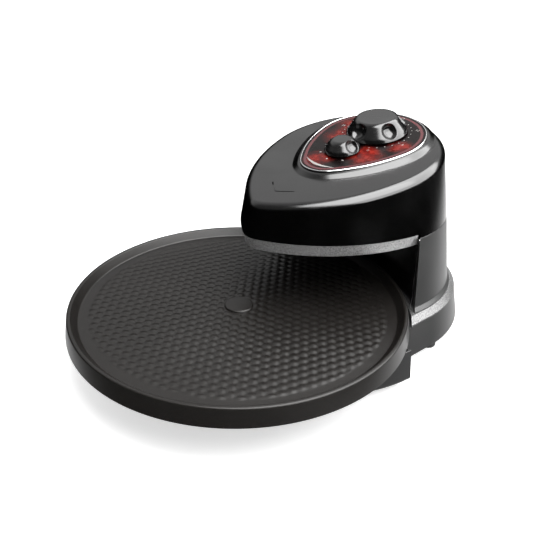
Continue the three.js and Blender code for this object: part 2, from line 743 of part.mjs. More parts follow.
function motorBracket() {
  const top = bracketZ + bracket.sheet;
  const leg = (side) => {
    const height = bracketZ - motorBottomZ + 0.6;
    const x = (side * (bracket.width - bracket.leg)) / 2 - side * 2;
    return block(bracket.leg, bracket.depth, height, at(x, 0, motorBottomZ + height / 2));
  };
  return block(bracket.width, bracket.depth, bracket.sheet, at(0, 0, bracketZ + bracket.sheet / 2))
    .add(leg(-1))
    .add(leg(1))
    .subtract(upright(0, 0, shaftRadius + bushWall + seatGap, bracketZ - 1, top + 1.5, 32));
}

function shaftBush() {
  const bore = shaftRadius + runGap;
  const outer = shaftRadius + bushWall;
  const z0 = bracketZ;
  const z1 = lowerReflectorZ + reflectorSheet + seatGap;
  const end = hubDiscBottomZ - hubSleeveHeight - 1;
  const flangeTop = z1 + bushFlangeSheet;
  const flange = outer + bushFlange;
  return turned([
    [bore, z0], [outer, z0], [outer, z1], [flange, z1], [flange, flangeTop], [outer, flangeTop], [outer, end],
    [bore, end], [bore, z0],
  ], 24);
}

const hexagon = (acrossFlats, z0, z1) => upright(0, 0, acrossFlats / Math.sqrt(3), z0, z1, 6);

function driveHub() {
  const sleeve = upright(0, 0, hubSleeveRadius, hubDiscBottomZ - hubSleeveHeight, hubDiscBottomZ, 32);
  const disc = upright(0, 0, hubDiscRadius, hubDiscBottomZ, hubDiscTopZ, 48);
  const blindZ = hubDiscBottomZ - hubSleeveHeight - 1;
  const blind = upright(0, 0, shaftRadius + seatGap, blindZ, hubDiscTopZ - 0.5, 24);
  return sleeve.add(disc).add(hexagon(hexAcrossFlats, hubDiscTopZ, hubDiscTopZ + hexHeight)).subtract(blind);
}

function driveSocket() {
  const z0 = hubDiscTopZ + seatGap;
  const z1 = panBottomZ - seatGap;
  return upright(0, 0, socketRadius, z0, z1, 40)
    .subtract(hexagon(hexAcrossFlats + 2 * socketClearance, z0 - 1, z1 + 1));
}

function panDish() {
  const bottom = panRimZ - panSkirtHeight;
  const floorTop = panRimZ - panDepth;
  const lipInner = panRimRadius - panLipWidth;
  const floorRadius = lipInner - panSlopeWidth;
  return turned([
    [0, panBottomZ], [floorRadius - 0.9, panBottomZ], [lipInner - 0.9, panRimZ - panSheet],
    [panRimRadius - 1.1, panRimZ - panSheet], [panSkirtRadius - panSheet, bottom], [panSkirtRadius, bottom],
    [panRimRadius + 0.6, panRimZ - 1], [panRimRadius - 0.2, panRimZ], [lipInner, panRimZ],
    [floorRadius, floorTop], [panBossRadius + 0.6, floorTop], [panBossRadius - 0.4, floorTop + panBossHeight],
    [0, floorTop + panBossHeight],
  ], 72);
}

// A knob with finger scoops round its sloping side, drawn from its own underside.
function knob(size) {
  const { radius, shoulder, top, height, scoops, firstScoop, scoopRadius, scoopOut } = size;
  const profile = [
    [0, 0], [radius - 1.6, 0], [radius, 1.8], [shoulder, knobFoot], [top + 1.2, height - 1.6],
    [top - 1.2, height - 0.4], [0, height],
  ];
  let body = turned(profile, 40);
  const middleR = (shoulder + top) / 2;
  const middleZ = (knobFoot + height - 1.6) / 2;
  const lean = Math.atan2(shoulder - top, height - knobFoot - 1.6);
  for (let i = 0; i < scoops; i++) {
    const heading = firstScoop + (i * Math.PI * 2) / scoops;
    const r = middleR + scoopOut * Math.cos(lean);
    const place = at(r * Math.cos(heading), r * Math.sin(heading), middleZ + scoopOut * Math.sin(lean));
    body = body.subtract(solid(new THREE.SphereGeometry(scoopRadius, 16, 10), place));
  }
  const bore = upright(0, 0, knobShaftRadius + seatGap, -1, height - 4, 20);
  return body.subtract(bore);
}

// Plates, shafts, switches and knobs that stand square to the panel.
function onPanelSolid(manifold, v, w) {
  return solid(geometryOf(manifold), onPanel(v, w));
}

function controlPlate() {
  const shape = shapeOf(plateOutline(-seatGap, [7, 13, 16]));
  for (const v of [timerV, selectorV]) {
    shape.holes.push(new THREE.Path().absarc(0, v, knobShaftRadius + slideGap, 0, Math.PI * 2, true));
  }
  return extruded(shape, plateSheet, onPanel(0, seatGap), 16);
}

function plateBezel() {
  const shape = shapeOf(plateOutline(bezelWidth, [7, 13, 16]));
  const opening = plateOutline(0, [7, 13, 16]).map((p) => new THREE.Vector2(p.x, p.y));
  shape.holes.push(new THREE.Path(opening.reverse()));
  return extruded(shape, bezelHeight, onPanel(0, seatGap));
}

function knobShaft(v, height) {
  const z0 = underPanel - shaftDepth;
  return onPanelSolid(upright(0, 0, knobShaftRadius, z0, knobBase + height - 4.4, 20), v, 0);
}

function switchBody({ width, depth, height }, v) {
  const body = block(width, depth, height, at(0, 0, underPanel - height / 2));
  const bore = upright(0, 0, knobShaftRadius + seatGap, underPanel - shaftDepth - 0.6, underPanel + 1, 20);
  return onPanelSolid(body.subtract(bore), v, 0);
}

// Wires from the terminal block up through the column to the head.
function wiringLoom() {
  const y = rearCentreY + terminalBlock.behind;
  const points = [
    [0, y + 10, baseBottomZ + 23],
    [0, y + 18, baseTopZ + 5.4],
    [0, y + 24, trimTopZ + 29.5],
    [0, y + 24, seamZ - 8.8],
    [0, y + 22, seamZ + 17.2],
  ];
  const path = new THREE.CatmullRomCurve3(points.map((p) => new THREE.Vector3(...p)));
  const options = { extrudePath: path, steps: 14, bevelEnabled: false, curveSegments: 4 };
  return solid(new THREE.ExtrudeGeometry(circleShape(loomRadius), options));
}

function wireBlock() {
  const { width, depth, height, behind } = terminalBlock;
  const z = baseBottomZ + bottomSheet + 2 * seatGap + height / 2;
  return block(width, depth, height, at(0, rearCentreY + behind, z));
}

function thermalCutoff() {
  const { radius, ahead, sink, rise } = cutoff;
  return upright(0, rearCentreY - ahead, radius, headEdgeZ - sink, headEdgeZ + rise, 28);
}

// ---- assembly ----
part("base_shell", baseShell(), satinBlack);
part("base_bottom_plate", bottomPlate(), steel);
part("base_trim", baseTrim(), silver);
part("column_shell", columnShell(), satinBlack);
part("gap_wall", gapWall(), brightSheet);
part("head_shell", headShell(), glossBlack);
part("head_trim", headTrim(), silver);
part("heat_shield", heatShield(), steel);
part("upper_reflector", upperReflector(), brightSheet);
part("upper_element", element(upperElementPath()), elementSheath);
part("control_plate", controlPlate(), panelRed);
part("plate_bezel", plateBezel(), silver);
part("timer_body", switchBody(timerSwitch, timerV), steel);
part("selector_switch", switchBody(selectorSwitch, selectorV), whitePlastic);
part("timer_shaft", knobShaft(timerV, timerKnob.height), steel);
part("timer_knob", onPanelSolid(knob(timerKnob), timerV, knobBase), knobPlastic);
part("selector_shaft", knobShaft(selectorV, selectorKnob.height), steel);
part("selector_knob", onPanelSolid(knob(selectorKnob), selectorV, knobBase), knobPlastic);
part("thermal_cutoff", thermalCutoff(), steel);
part("lower_tray", lowerTray(), blackSteel);
part("lower_reflector", lowerReflector(), brightSheet);
part("lower_element", element(lowerElementPath()), elementSheath);
part("gear_motor", gearMotor(), steel);
part("motor_bracket", motorBracket(), steel);
part("shaft_bush", shaftBush(), brass);
part("drive_shaft", upright(0, 0, shaftRadius, bracketZ - shaftReach, hubDiscTopZ - 0.8, 24), steel);
part("drive_hub", driveHub(), satinBlack);
part("drive_socket", driveSocket(), steel);
part("pan", panDish(), nonStick);
part("cord_gland", cordGland(), rubber);
part("terminal_block", wireBlock(), whitePlastic);
part("wiring_loom", wiringLoom(), rubber);

const sideOf = (x) => (x > 0 ? "right" : "left");
const clipRoof = headEdgeZ - shieldDrop - shieldSheet - 2 * seatGap - 0.1 - reflectorSheet;
const clipFloor = lowerReflectorZ + reflectorSheet + seatGap;
const upperClipEnd = upperElementZ - elementRadius - clipSize.cover;
const lowerClipEnd = lowerElementZ + elementRadius + clipSize.cover;
for (const side of [1, -1]) {
  const [upperX, upperY] = upperClipSpot();
  const [lowerX, lowerY] = lowerClipSpot();
  const upper = clip(side * upperX, upperY, side * -41 * deg, upperClipEnd, clipRoof, upperElementZ);
  const lower = clip(side * lowerX, lowerY, side * -49 * deg, clipFloor, lowerClipEnd, lowerElementZ);
  part("upper_clip_" + sideOf(side), upper, steel);
  part("lower_clip_" + sideOf(side), lower, steel);
}
rearFeet.forEach(([x, y]) => part("foot_rear_" + sideOf(x), foot(x, y, baseBottomZ, 5), rubber));
frontFeet.forEach(([x, y]) => part("foot_front_" + sideOf(x), foot(x, y, trayBottomZ - seatGap, 5), rubber));
plateScrews.forEach(([x, y], i) => {
  part("bottom_screw_" + (i + 1), screw(x, y, baseBottomZ + seatGap), steel);
});

parts.position.y = -(baseRearY - panSkirtRadius) / 2;

export default group;
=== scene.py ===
import bpy
import bmesh
import json
import math
from mathutils import Matrix, Vector


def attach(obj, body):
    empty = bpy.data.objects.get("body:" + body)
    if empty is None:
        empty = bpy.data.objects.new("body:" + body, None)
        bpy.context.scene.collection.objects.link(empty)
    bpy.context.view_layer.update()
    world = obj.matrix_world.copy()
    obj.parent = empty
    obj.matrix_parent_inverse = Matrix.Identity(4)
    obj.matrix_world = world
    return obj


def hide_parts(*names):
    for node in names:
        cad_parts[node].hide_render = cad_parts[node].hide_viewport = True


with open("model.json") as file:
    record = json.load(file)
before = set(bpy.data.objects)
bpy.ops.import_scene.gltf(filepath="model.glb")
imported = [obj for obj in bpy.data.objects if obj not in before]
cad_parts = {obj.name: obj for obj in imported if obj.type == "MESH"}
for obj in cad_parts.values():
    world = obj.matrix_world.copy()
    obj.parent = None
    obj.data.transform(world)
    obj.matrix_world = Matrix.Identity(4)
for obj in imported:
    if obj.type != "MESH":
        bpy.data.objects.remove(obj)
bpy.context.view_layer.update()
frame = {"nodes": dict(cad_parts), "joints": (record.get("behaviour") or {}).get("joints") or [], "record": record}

print("frame loaded")

# places, in millimetres about the pan's axis
mm = 0.001
joints = {joint["name"]: joint for joint in frame["joints"]}
panAxis = Vector(joints["pan_turn"]["pos_m"])
panelUp = -Vector(joints["timer_turn"]["axis"])
tilt = math.asin(-panelUp.y)
panelSlope = Vector((0, math.cos(tilt), math.sin(tilt)))
plinthZ = 167.7


def place(x, y, z):
    return Vector((x, y, z)) * mm + Vector((panAxis.x, panAxis.y, 0))


def onPanel(u, v, w):
    # u across, v up the slope, w out of the panel
    spot = Vector((u, 0, plinthZ)) + panelSlope * v + panelUp * w
    return place(*spot)


# mesh helpers
def meshPiece(name, bm):
    mesh = bpy.data.meshes.new(name)
    bmesh.ops.recalc_face_normals(bm, faces=bm.faces)
    bm.to_mesh(mesh)
    bm.free()
    piece = bpy.data.objects.new(name, mesh)
    bpy.context.scene.collection.objects.link(piece)
    return piece


def settle(piece):
    # applies the piece's modifiers to its mesh
    bpy.context.view_layer.update()
    evaluated = piece.evaluated_get(bpy.context.evaluated_depsgraph_get())
    mesh = bpy.data.meshes.new_from_object(evaluated)
    piece.modifiers.clear()
    piece.data = mesh


def combine(piece, operation, *tools):
    for tool in tools:
        step = piece.modifiers.new("cut", "BOOLEAN")
        step.operation = operation
        step.solver = "EXACT"
        step.object = tool
        settle(piece)
        bpy.data.objects.remove(tool)


def smooth(piece, angle=32, round=0, segments=3):
    # rounds the sharp edges if asked, then shades the curved faces smooth and keeps the flat ones flat
    if round:
        soften = piece.modifiers.new("round", "BEVEL")
        soften.width = round * mm
        soften.segments = segments
        soften.limit_method = "ANGLE"
        soften.angle_limit = math.radians(angle)
        soften.use_clamp_overlap = True
        settle(piece)
    mesh = piece.data
    mesh.polygons.foreach_set("use_smooth", [True] * len(mesh.polygons))
    mesh.set_sharp_from_angle(angle=math.radians(angle + 8))
    weigh = piece.modifiers.new("flats", "WEIGHTED_NORMAL")
    weigh.keep_sharp = True
    weigh.weight = 90
    settle(piece)
    return piece


def loft(name, rings, close=True):
    # joins rings of equally many points; close puts a face on each end
    bm = bmesh.new()
    rows = [[bm.verts.new(point) for point in ring] for ring in rings]
    count = len(rows[0])
    for lower, upper in zip(rows, rows[1:]):
        for k in range(count):
            after = (k + 1) % count
            bm.faces.new((lower[k], lower[after], upper[after], upper[k]))
    if close:
        bm.faces.new(rows[0][::-1])
        bm.faces.new(rows[-1])
    return meshPiece(name, bm)


def weld(piece, reach):
    # joins points that share a place
    bm = bmesh.new()
    bm.from_mesh(piece.data)
    bmesh.ops.remove_doubles(bm, verts=bm.verts, dist=reach)
    bmesh.ops.recalc_face_normals(bm, faces=bm.faces)
    bm.to_mesh(piece.data)
    bm.free()
    return piece


def circle(radius, count):
    turns = [2 * math.pi * k / count for k in range(count)]
    return [(radius * math.cos(turn), radius * math.sin(turn)) for turn in turns]


def lathe(name, profile, segments, centre=(0, 0), spot=place):
    # a profile of (radius, height) turned about an upright axis; a radius of 0 closes it there
    bm = bmesh.new()
    rows = []
    for radius, height in profile:
        if radius == 0:
            rows.append([bm.verts.new(spot(centre[0], centre[1], height))])
            continue
        row = []
        for k in range(segments):
            turn = 2 * math.pi * k / segments
            x = centre[0] + radius * math.cos(turn)
            y = centre[1] + radius * math.sin(turn)
            row.append(bm.verts.new(spot(x, y, height)))
        rows.append(row)
    for lower, upper in zip(rows, rows[1:]):
        for k in range(segments):
            after = (k + 1) % segments
            if len(lower) == 1 and len(upper) == 1:
                continue
            if len(lower) == 1:
                bm.faces.new((lower[0], upper[after], upper[k]))
            elif len(upper) == 1:
                bm.faces.new((lower[k], lower[after], upper[0]))
            else:
                bm.faces.new((lower[k], lower[after], upper[after], upper[k]))
    return meshPiece(name, bm)


def tube(name, path, radius, sides=16):
    # a round bar along a path, with flat ends
    bm = bmesh.new()
    side = Vector((0, 0, 1))
    rows = []
    last = len(path) - 1
    for i, point in enumerate(path):
        along = (path[min(i + 1, last)] - path[max(i - 1, 0)]).normalized()
        side = (side - along * side.dot(along)).normalized()
        across = along.cross(side)
        row = []
        for k in range(sides):
            turn = 2 * math.pi * k / sides
            row.append(bm.verts.new(point + (side * math.cos(turn) + across * math.sin(turn)) * radius * mm))
        rows.append(row)
    for lower, upper in zip(rows, rows[1:]):
        for k in range(sides):
            after = (k + 1) % sides
            bm.faces.new((lower[k], lower[after], upper[after], upper[k]))
    bm.faces.new(rows[0][::-1])
    bm.faces.new(rows[-1])
    return meshPiece(name, bm)


def curveThrough(points, steps=8):
    # a smooth path through the points, evenly stepped between each pair
    path = []
    ends = [points[0] * 2 - points[1], *points, points[-1] * 2 - points[-2]]
    for a, b, c, d in zip(ends, ends[1:], ends[2:], ends[3:]):
        for i in range(steps):
            t = i / steps
            bend = (2 * a - 5 * b + 4 * c - d) * t * t + (3 * (b - c) + d - a) * t ** 3
            path.append((2 * b + (c - a) * t + bend) / 2)
    path.append(points[-1])
    return path


# outlines are closed lists of (x, y, outward x, outward y)
def egg(tip, tipRadius, rearY, rearRadius, sideRadius, steps=(14, 40, 60)):
    tipCentre = tip + tipRadius
    spread = rearY - tipCentre
    back = ((sideRadius - rearRadius) ** 2 - (sideRadius - tipRadius) ** 2 + spread ** 2) / (2 * spread)
    sideY = rearY - back
    sideX = -math.sqrt((sideRadius - rearRadius) ** 2 - back ** 2)
    first = math.atan2(tipCentre - sideY, -sideX)
    last = math.atan2(rearY - sideY, -sideX)
    arcs = [
        (0, tipCentre, tipRadius, -math.pi / 2, first, steps[0]),
        (sideX, sideY, sideRadius, first, last, steps[1]),
        (0, rearY, rearRadius, last, math.pi / 2, steps[2]),
    ]
    half = []
    for centreX, centreY, radius, start, end, count in arcs:
        for i in range(count):
            turn = start + (end - start) * i / count
            nx, ny = math.cos(turn), math.sin(turn)
            half.append((centreX + radius * nx, centreY + radius * ny, nx, ny))
    half.append((0, rearY + rearRadius, 0, 1))
    return half + [(-x, y, -nx, ny) for x, y, nx, ny in half[-2:0:-1]]


def inset(outline, amount):
    return [(x - nx * amount, y - ny * amount, nx, ny) for x, y, nx, ny in outline]


def ringAt(outline, z):
    return [place(x, y, z) for x, y, nx, ny in outline]


def drum(radius, low, high, segments=192):
    return lathe("cutter", [(0, low), (radius, low), (radius, high), (0, high)], segments)


# shader helpers
def plug(tree, socket, value):
    if isinstance(value, Wire):
        tree.links.new(value.socket, socket)
    else:
        socket.default_value = value


class Wire:
    # an output socket; arithmetic on it adds Math nodes
    def __init__(self, tree, socket):
        self.tree = tree
        self.socket = socket

    def maths(self, operation, *values):
        node = self.tree.nodes.new("ShaderNodeMath")
        node.operation = operation
        for socket, value in zip(node.inputs, values):
            plug(self.tree, socket, value)
        return Wire(self.tree, node.outputs[0])

    def __add__(self, other):
        return self.maths("ADD", self, other)

    def __radd__(self, other):
        return self.maths("ADD", other, self)

    def __sub__(self, other):
        return self.maths("SUBTRACT", self, other)

    def __rsub__(self, other):
        return self.maths("SUBTRACT", other, self)

    def __mul__(self, other):
        return self.maths("MULTIPLY", self, other)

    def __rmul__(self, other):
        return self.maths("MULTIPLY", other, self)

    def __truediv__(self, other):
        return self.maths("DIVIDE", self, other)

    def __pow__(self, other):
        return self.maths("POWER", self, other)

    def __gt__(self, other):
        return self.maths("GREATER_THAN", self, other)

    def __lt__(self, other):
        return self.maths("LESS_THAN", self, other)

    def fade(self, low, high):
        # 0 at low, 1 at high, eased between
        node = self.tree.nodes.new("ShaderNodeMapRange")
        node.interpolation_type = "SMOOTHSTEP"
        plug(self.tree, node.inputs[0], self)
        node.inputs[1].default_value = low
        node.inputs[2].default_value = high
        return Wire(self.tree, node.outputs[0])


class Finish:
    # one material: a principled surface and the nodes that feed it
    def __init__(self, name, **steady):
        self.material = bpy.data.materials.new(name)
        self.material.use_nodes = True
        self.tree = self.material.node_tree
        self.surface = self.tree.nodes["Principled BSDF"]
        for socket, value in steady.items():
            self.surface.inputs[socket.replace("_", " ")].default_value = value
        self.spot = self.add("TexCoord", output="Object")

    def add(self, kind, settings=None, values=None, output=0):
        node = self.tree.nodes.new("ShaderNode" + kind)
        for key, value in (settings or {}).items():
            setattr(node, key, value)
        for key, value in (values or {}).items():
            plug(self.tree, node.inputs[key], value)
        return Wire(self.tree, node.outputs[output])

    def stretched(self, x, y, z):
        return self.add("Mapping", values={"Vector": self.spot, "Scale": (x, y, z)})

    def noise(self, scale, detail=2.0, where=None):
        values = {"Vector": where or self.spot, "Scale": scale, "Detail": detail}
        return self.add("TexNoise", values=values)

    def blendColours(self, amount, first, second):
        node = self.tree.nodes.new("ShaderNodeMix")
        node.data_type = "RGBA"
        plug(self.tree, node.inputs[0], amount)
        plug(self.tree, node.inputs[6], first)
        plug(self.tree, node.inputs[7], second)
        return Wire(self.tree, node.outputs[2])

    def feed(self, **inputs):
        for socket, value in inputs.items():
            plug(self.tree, self.surface.inputs[socket.replace("_", " ")], value)
        return self

    def relief(self, height, strength, depth):
        values = {"Height": height, "Strength": strength, "Distance": depth * mm}
        self.feed(Normal=self.add("Bump", values=values))
        return self


def tone(level, warmth=0.0):
    return (level * (1 + warmth), level, level * (1 - warmth), 1)


finishes = {}


def moulded(name, dark, light, shine, grain, peel, **steady):
    # moulded plastic: cloudy smudges over a fine skin
    finish = Finish(name, **steady)
    smudge = finish.noise(26, 4).fade(0.35, 0.7)
    skin = finish.noise(grain, 2)
    colour = finish.blendColours(smudge * 0.2 + skin * 0.6, dark, light)
    finish.feed(Base_Color=colour, Roughness=shine[0] + (shine[1] - shine[0]) * smudge)
    finishes[name] = finish.relief(skin, peel, 0.05)
    return finish


def sheetMetal(name, dark, light, shine, brush, depth, stretch=(1, 1, 1), metallic=1.0):
    # sheet metal: fine lines along the brushing and soft clouding across it
    finish = Finish(name, Metallic=metallic)
    lines = finish.noise(brush, 3, finish.stretched(*stretch))
    cloud = finish.noise(14, 3).fade(0.3, 0.75)
    colour = finish.blendColours(lines.fade(0.3, 0.7) * 0.7 + cloud * 0.3, dark, light)
    rough = shine[0] + (shine[1] - shine[0]) * (lines * 0.6 + cloud * 0.4)
    finish.feed(Base_Color=colour, Roughness=rough)
    finishes[name] = finish.relief(lines, depth, 0.06)
    return finish


gloss = {"dark": tone(0.0006), "light": tone(0.0012), "shine": (0.15, 0.22), "grain": 700, "peel": 0.03}
moulded("glossBlack", **gloss)
satin = {"dark": tone(0.02), "light": tone(0.03), "shine": (0.36, 0.4), "grain": 2600, "peel": 0.2}
moulded("satinBlack", **satin)
knobs = {"dark": tone(0.004), "light": tone(0.009), "shine": (0.12, 0.2), "grain": 1500, "peel": 0.05}
moulded("knobGrey", **knobs)
moulded("rubber", tone(0.01), tone(0.018), (0.7, 0.85), 1800, 0.35)
moulded("whitePlastic", tone(0.6, 0.04), tone(0.68, 0.04), (0.4, 0.5), 2000, 0.1)
sheetMetal("silverTrim", tone(0.11), tone(0.56), (0.28, 0.42), 900, 0.35, (1, 1, 1.4), 0.6)
sheetMetal("ledgeSilver", tone(0.05), tone(0.2), (0.4, 0.55), 620, 0.25, (1, 1, 1.4), 0.5)
sheetMetal("brightSheet", tone(0.3), tone(0.42), (0.14, 0.26), 260, 0.1, (4, 4, 0.25))
sheetMetal("steel", tone(0.36), tone(0.5), (0.3, 0.45), 500, 0.2, (1, 6, 1))
sheetMetal("brass", (0.55, 0.36, 0.12, 1), (0.66, 0.46, 0.18, 1), (0.25, 0.4), 600, 0.2)
sheath = {"dark": (0.045, 0.037, 0.03, 1), "light": (0.1, 0.085, 0.075, 1), "metallic": 0.8}
sheetMetal("heaterSheath", shine=(0.45, 0.65), brush=900, depth=0.3, **sheath)
sheetMetal("blackSteel", tone(0.008), tone(0.016), (0.32, 0.46), 1600, 0.2, metallic=0.2)

# non-stick coating: brownish black, finely speckled, its shine varying a little in random patches
coating = Finish("nonStick", Specular_IOR_Level=0.24)
speck = coating.noise(1900, 3)
wear = coating.noise(9, 4).fade(0.35, 0.7)
coatDark, coatPale = (0.006, 0.0052, 0.0046, 1), (0.015, 0.0133, 0.012, 1)
coatColour = coating.blendColours(speck.fade(0.4, 0.62), coatDark, coatPale)
coating.feed(Base_Color=coatColour, Roughness=0.26 + wear * 0.08 + speck * 0.08)
finishes["nonStick"] = coating.relief(speck, 0.25, 0.05)

# printed label: a red glow on black with a smooth, low-shine surface
label = Finish("panelPrint", Specular_IOR_Level=0.1)
labelGlows = [(-24, 164, 26), (-34, 190, 22), (30, 142, 24), (22, 152, 15), (44, 178, 18), (-8, 112, 20)]
axes = label.add("SeparateXYZ", values={"Vector": label.spot}, output="X")
across = Wire(label.tree, axes.socket.node.outputs["X"])
along = Wire(label.tree, axes.socket.node.outputs["Y"])
glow = 0.0
for u, v, reach in labelGlows:
    middle = onPanel(u, v, 0)
    offX = across - middle.x
    offY = (along - middle.y) / math.cos(tilt)
    away = (offX * offX + offY * offY) ** 0.5
    glow = glow + (1 - away.fade(reach * 0.15 * mm, reach * mm))
flicker = label.noise(110, 4).fade(0.3, 0.72)
ember = label.blendColours(flicker, (0.08, 0.003, 0.003, 1), (0.3, 0.018, 0.009, 1))
glow = glow.maths("MINIMUM", glow * 0.75, 1)
labelColour = label.blendColours(glow, (0.003, 0.001, 0.001, 1), ember)
label.feed(Base_Color=labelColour, Roughness=0.22 + flicker * 0.08)
finishes["panelPrint"] = label.relief(label.noise(1200, 2), 0.04, 0.03)

moulded("labelBorder", (0.07, 0.002, 0.005, 1), (0.11, 0.004, 0.008, 1), (0.18, 0.26), 1200, 0.04)
moulded("paleInk", tone(0.3, 0.05), tone(0.4, 0.04), (0.3, 0.4), 1500, 0.05)
sheetMetal("labelSilver", tone(0.42), tone(0.62), (0.16, 0.28), 1400, 0.08)
print("finishes made:", len(finishes))


def done(piece, finish, body, slot, *nodes):
    # gives the piece its finish and body, and hides the CAD nodes it stands for
    piece.data.materials.clear()
    piece.data.materials.append(finishes[finish].material)
    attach(piece, body)
    if nodes:
        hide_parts(*nodes)
    print("piece:", piece.name, len(piece.data.polygons))
    return piece


# the pan
pan = {
    "rim": 168, "skirt": 171.4, "bottom": 48, "top": 67, "floor": 59, "sheet": 1.8, "boss": 14, "bossRise": 2,
    "lipInner": 164.7, "floorRadius": 158.6, "dimpleReach": 149.5, "dimplePitch": 8.45, "dimpleHeight": 0.9,
    "dimpleTurn": 46, "segments": 432,
}


def dimple(x, y):
    radius = math.hypot(x, y)
    step = 2 * math.pi / pan["dimplePitch"]
    total = 0
    for third in range(3):
        turn = math.radians(pan["dimpleTurn"] + 60 * third)
        total += math.cos(step * (x * math.cos(turn) + y * math.sin(turn)))
    crest = min(1, max(0, (total + 1.5) / 4.5 * 1.35)) ** 0.8
    outer = min(1, max(0, (pan["dimpleReach"] - radius) / 3))
    inner = min(1, max(0, (radius - pan["boss"] - 1.5) / 3))
    return pan["dimpleHeight"] * crest * outer * inner


def panSpot(x, y, z):
    lifted = dimple(x, y) if z == pan["floor"] else 0
    return place(x, y, z + lifted)


def panProfile():
    under = pan["floor"] - pan["sheet"]
    rim, skirt, lip, edge = pan["rim"], pan["skirt"], pan["lipInner"], pan["floorRadius"]
    top, bottom, floorZ, sheet = pan["top"], pan["bottom"], pan["floor"], pan["sheet"]
    # the underside first, then the outside of the skirt, the rim and down to the floor
    profile = [(0, under), (edge - 0.9, under), (lip - 0.9, top - sheet), (rim - 1.1, top - sheet)]
    profile += [(skirt - sheet, bottom + 0.3), (skirt - sheet + 0.5, bottom), (skirt - 0.4, bottom)]
    profile += [(skirt, bottom + 0.5), (rim + 0.85, top - 1.6), (rim + 0.6, top - 0.9)]
    profile += [(rim + 0.1, top - 0.3), (rim - 0.6, top), (lip + 0.9, top), (lip + 0.2, top - 0.15)]
    profile += [(lip - 0.4, top - 0.6), (edge + 0.9, floorZ + 0.9), (edge + 0.1, floorZ + 0.2)]
    profile.append((edge - 0.9, floorZ + 0.001))
    radius = pan["dimpleReach"] + 0.5
    while radius > pan["boss"] + 1:
        profile.append((radius, pan["floor"]))
        radius -= 1.3
    rise = pan["floor"] + pan["bossRise"]
    boss = pan["boss"]
    profile += [(boss + 0.6, floorZ + 0.05), (boss + 0.2, rise - 0.5), (boss - 0.3, rise - 0.1)]
    profile += [(boss - 0.9, rise), (0, rise)]
    return profile


pizzaPan = smooth(lathe("pizzaPan", panProfile(), pan["segments"], spot=panSpot), 50)
done(pizzaPan, "nonStick", "pan", "nonstick", "pan")

# the head
head = {
    "tip": 10.8, "tipRadius": 24, "rearY": 155, "rearRadius": 102.8, "sideRadius": 179,
    "draft": math.radians(9),
    "seam": 128.8, "edge": 133, "fillet": 9, "wall": 3, "plinth": 4, "plinthBevel": 8, "plinthMargin": 2.6,
}
plate = {"tip": 91.6, "tipRadius": 29, "rearV": 180.5, "rearRadius": 57.5, "sideRadius": 139, "sheet": 1.2}
wall = {"radius": 178, "sheet": 1.5, "half": 103}
columnFront = wall["radius"] + wall["sheet"] + 0.3
headOutline = egg(head["tip"], head["tipRadius"], head["rearY"], head["rearRadius"], head["sideRadius"])


def plateOutline(grow, steps=(16, 36, 44)):
    return egg(
        plate["tip"] - grow, plate["tipRadius"] + grow, plate["rearV"], plate["rearRadius"] + grow,
        plate["sideRadius"] + grow, steps,
    )


def topHeight(y):
    return plinthZ - head["plinth"] / math.cos(tilt) + y * math.tan(tilt)


def headForm(name, inward, drop, low, steps):
    fillet = head["fillet"]
    lean = math.tan(head["draft"])
    tops = []
    for x, y, nx, ny in headOutline:
        z = topHeight(y)
        for again in range(4):
            z = topHeight(y - ny * ((z - head["seam"]) * lean + inward + fillet)) - drop
        tops.append(z)

    def ring(rise, extra):
        row = []
        for (x, y, nx, ny), top in zip(headOutline, tops):
            z = low if rise is None else top - fillet + rise
            wallZ = min(z, top - fillet)
            amount = inward + (wallZ - head["seam"]) * lean + extra
            row.append(place(x - nx * amount, y - ny * amount, z))
        return row

    rings = [ring(None, 0), ring(0, 0)]
    for i in range(1, steps + 1):
        turn = math.pi / 2 * i / steps
        rings.append(ring(fillet * math.sin(turn), fillet * (1 - math.cos(turn))))
    return loft(name, rings)


def plinthForm(name, drop):
    margin, bevel, height = head["plinthMargin"], head["plinthBevel"], head["plinth"]
    rings = []
    # the bevel starts hollow at its foot and rolls over at the top
    slope = [(bevel + 1.5, -height - 2), (bevel, -height), (bevel - 1, -height + 0.2)]
    slope += [(bevel - 2.2, -height + 0.8), (2.6, -0.9), (1.6, -0.4), (0.7, -0.1), (0, 0)]
    for outward, w in slope:
        row = plateOutline(margin + outward - drop)
        rings.append([onPanel(x, v, w - drop) for x, v, nx, ny in row])
    plinth = loft(name, rings)
    reach = head["wall"] + head["fillet"] + (plinthZ - head["seam"]) * math.tan(head["draft"]) + drop
    limit = inset(headOutline, reach)
    combine(plinth, "INTERSECT", loft("limit", [ringAt(limit, head["edge"]), ringAt(limit, plinthZ + 80)]))
    return plinth


def chevron():
    # a narrow V that points at the tip, with nearly straight arms
    half, rise, width = 16, 11, 1.5
    start = 44 / math.cos(tilt)
    front = [(half * i / 8, start + rise * (i / 8) ** 1.15) for i in range(9)]
    line = front + [(x, v + width) for x, v in front[::-1]]
    line += [(-x, v + width) for x, v in front[1:]] + [(-x, v) for x, v in front[:0:-1]]
    low, high = -head["plinth"] - 1.6, -head["plinth"] + 3
    return loft("groove", [[onPanel(x, v, w) for x, v in line] for w in (low, high)])


def panelDrum(name, v, radius, low, high, segments=64):
    ring = circle(radius, segments)
    return loft(name, [[onPanel(x, v + y, w) for x, y in ring] for w in (low, high)])


